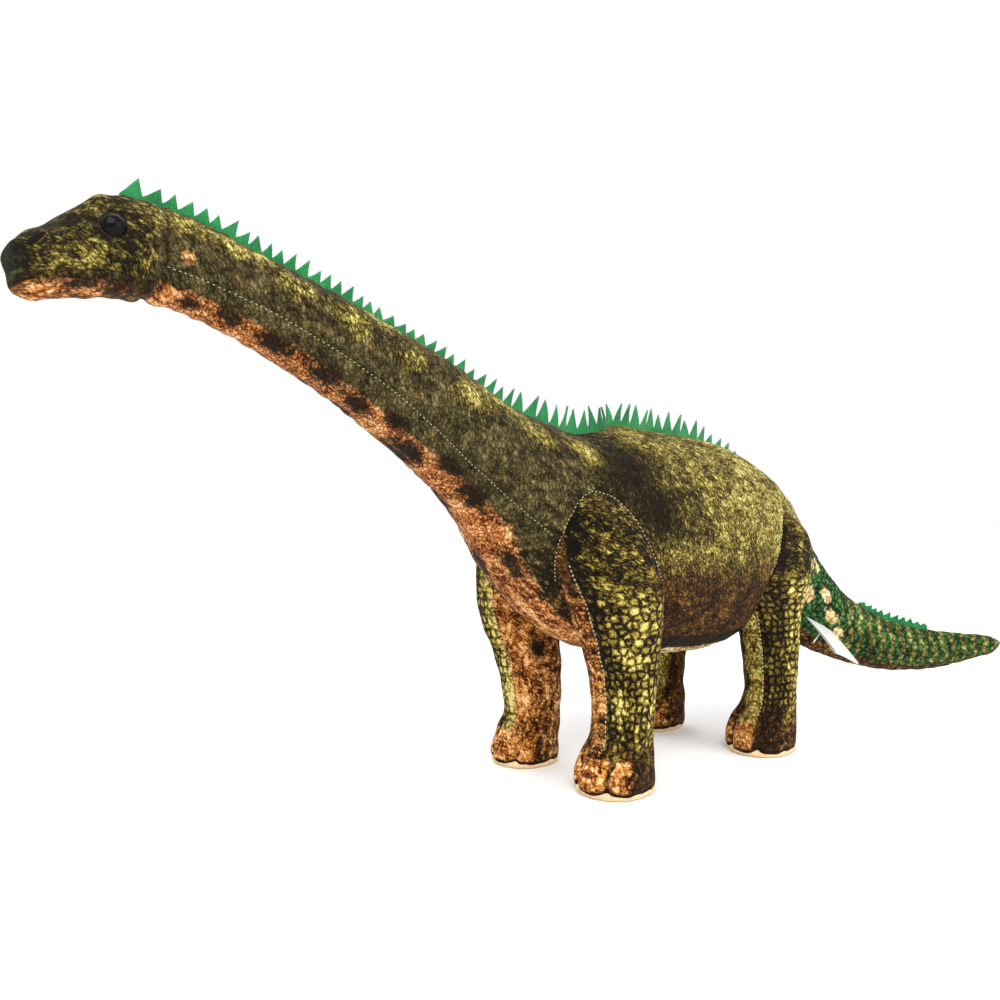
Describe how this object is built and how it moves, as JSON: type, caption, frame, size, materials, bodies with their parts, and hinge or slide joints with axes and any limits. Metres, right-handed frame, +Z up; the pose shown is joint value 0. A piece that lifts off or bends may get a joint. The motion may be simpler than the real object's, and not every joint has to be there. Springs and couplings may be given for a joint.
{
  "type": "stuffed dinosaur",
  "caption": "Long-necked stuffed dinosaur standing on sewn legs, with a printed pile skin, a felt zigzag spine, safety eyes and a curled tail.",
  "frame": {"origin": "on the floor, below the middle of the toy's overall box", "axes": "+Z up; -X towards the head, +X towards the tail; +Y is the animal's right side"},
  "size_m": [0.6666, 0.1658, 0.2862],
  "materials": {
    "scale_print_pile": "short pile printed with olive and yellow scales",
    "underside_pile": "short pile printed orange and brown",
    "leg_pile": "short pile printed with large square scales",
    "sole_fabric": "peach short pile",
    "green_felt": "dense cut felt",
    "polyester_fill": "loose polyester fibre fill",
    "eye_gloss": "black glossy dome with a brown ring",
    "washer_plastic": "plain moulded",
    "black_patch": "satin stitched",
    "label_satin": "white satin, blank",
    "filament_nylon": "clear white nylon"
  },
  "bodies": {
    "torso": {"torso_stuffing": "polyester_fill", "torso_panel_left": "scale_print_pile", "torso_panel_right": "scale_print_pile", "belly_panel": "underside_pile", "back_spine_strip": "green_felt"},
    "neck": {"neck_stuffing": "polyester_fill", "neck_panel_left": "scale_print_pile", "neck_panel_right": "scale_print_pile", "neck_underside_panel": "underside_pile", "neck_spine_strip": "green_felt"},
    "head": {"head_stuffing": "polyester_fill", "head_panel_left": "scale_print_pile", "head_panel_right": "scale_print_pile", "chin_panel": "underside_pile", "head_spine_strip": "green_felt", "eye_left": "eye_gloss", "eye_right": "eye_gloss", "eye_washer_left": "washer_plastic", "eye_washer_right": "washer_plastic", "nostril_left": "black_patch", "nostril_right": "black_patch"},
    "tail": {"tail_stuffing": "polyester_fill", "tail_panel_left": "scale_print_pile", "tail_panel_right": "scale_print_pile", "tail_underside_panel": "underside_pile", "tail_spine_strip": "green_felt", "care_label": "label_satin", "tag_filament": "filament_nylon"},
    "front_left_leg": {"front_left_leg_stuffing": "polyester_fill", "front_left_leg_outer_panel": "leg_pile", "front_left_leg_inner_panel": "leg_pile", "front_left_leg_sole": "sole_fabric"},
    "front_right_leg": {"front_right_leg_stuffing": "polyester_fill", "front_right_leg_outer_panel": "leg_pile", "front_right_leg_inner_panel": "leg_pile", "front_right_leg_sole": "sole_fabric"},
    "rear_left_leg": {"rear_left_leg_stuffing": "polyester_fill", "rear_left_leg_outer_panel": "leg_pile", "rear_left_leg_inner_panel": "leg_pile", "rear_left_leg_sole": "sole_fabric"},
    "rear_right_leg": {"rear_right_leg_stuffing": "polyester_fill", "rear_right_leg_outer_panel": "leg_pile", "rear_right_leg_inner_panel": "leg_pile", "rear_right_leg_sole": "sole_fabric"}
  },
  "joints": [
    {"name": "neck_bend", "type": "hinge", "parent": "torso", "child": "neck", "pos_m": [-0.094, 0.0185, 0.176], "axis": [0, 1, 0], "range_deg": [-10, 10], "stiffness_Nm_per_rad": 6},
    {"name": "head_nod", "type": "hinge", "parent": "neck", "child": "head", "pos_m": [-0.262, 0.0185, 0.2565], "axis": [0, 1, 0], "range_deg": [-12, 12], "stiffness_Nm_per_rad": 2},
    {"name": "tail_swing", "type": "hinge", "parent": "torso", "child": "tail", "pos_m": [0.184, 0.0115, 0.098], "axis": [0, 0, 1], "range_deg": [-12, 12], "stiffness_Nm_per_rad": 1.5},
    {"name": "front_left_leg_swing", "type": "hinge", "parent": "torso", "child": "front_left_leg", "pos_m": [-0.0285, 0.0185, 0.118], "axis": [0, 1, 0], "range_deg": [-8, 8], "stiffness_Nm_per_rad": 3},
    {"name": "front_right_leg_swing", "type": "hinge", "parent": "torso", "child": "front_right_leg", "pos_m": [-0.0285, 0.0185, 0.118], "axis": [0, 1, 0], "range_deg": [-8, 8], "stiffness_Nm_per_rad": 3},
    {"name": "rear_left_leg_swing", "type": "hinge", "parent": "torso", "child": "rear_left_leg", "pos_m": [0.109, 0.0185, 0.112], "axis": [0, 1, 0], "range_deg": [-8, 8], "stiffness_Nm_per_rad": 3},
    {"name": "rear_right_leg_swing", "type": "hinge", "parent": "torso", "child": "rear_right_leg", "pos_m": [0.109, 0.0185, 0.112], "axis": [0, 1, 0], "range_deg": [-8, 8], "stiffness_Nm_per_rad": 3}
  ]
}
